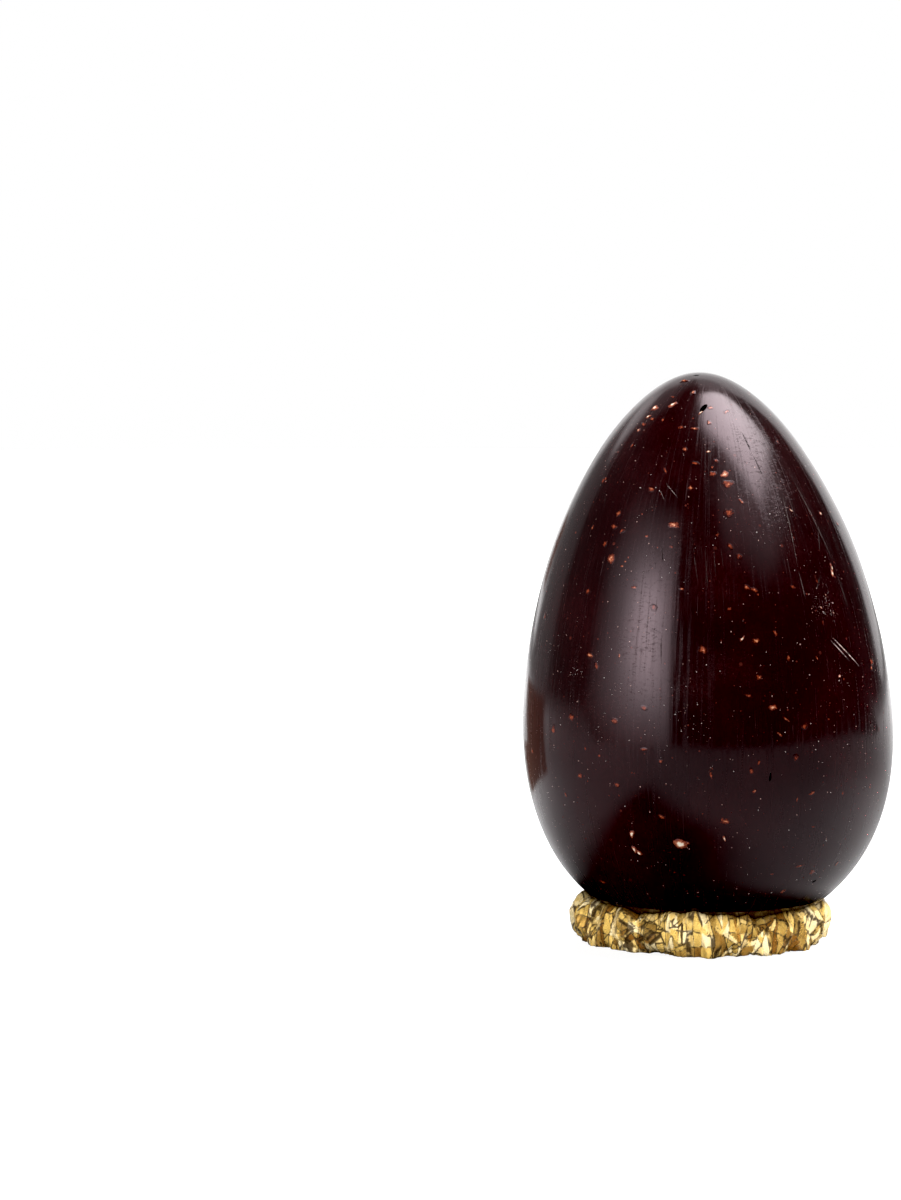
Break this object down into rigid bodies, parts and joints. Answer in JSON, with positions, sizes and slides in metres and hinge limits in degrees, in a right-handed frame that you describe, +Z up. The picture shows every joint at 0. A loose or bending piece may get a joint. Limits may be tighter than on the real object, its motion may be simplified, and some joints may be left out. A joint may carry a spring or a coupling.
{
  "type": "chocolate egg",
  "caption": "Whole glossy dark chocolate egg with chopped hazelnuts, standing broad end down in a ring of its own crumpled gold foil.",
  "frame": {"origin": "on the table under the middle of the egg, at the centre of the whole object's outline seen from above", "axes": "+Z up through the tip, +X to the viewer's right, +Y away from the viewer, so the front faces -Y"},
  "size_m": [0.1202, 0.1201, 0.1839],
  "materials": {
    "dark_chocolate": "dark chocolate, hand polished to a gloss, with faint wiping streaks, scuffs and nut specks",
    "hazelnut": "chopped toasted hazelnut, cream to red-brown, dull",
    "gold_foil": "thin gold-coloured aluminium foil, crumpled into sharp folds"
  },
  "bodies": {
    "root": {"egg": "dark_chocolate", "foil": "gold_foil"}
  },
  "joints": []
}
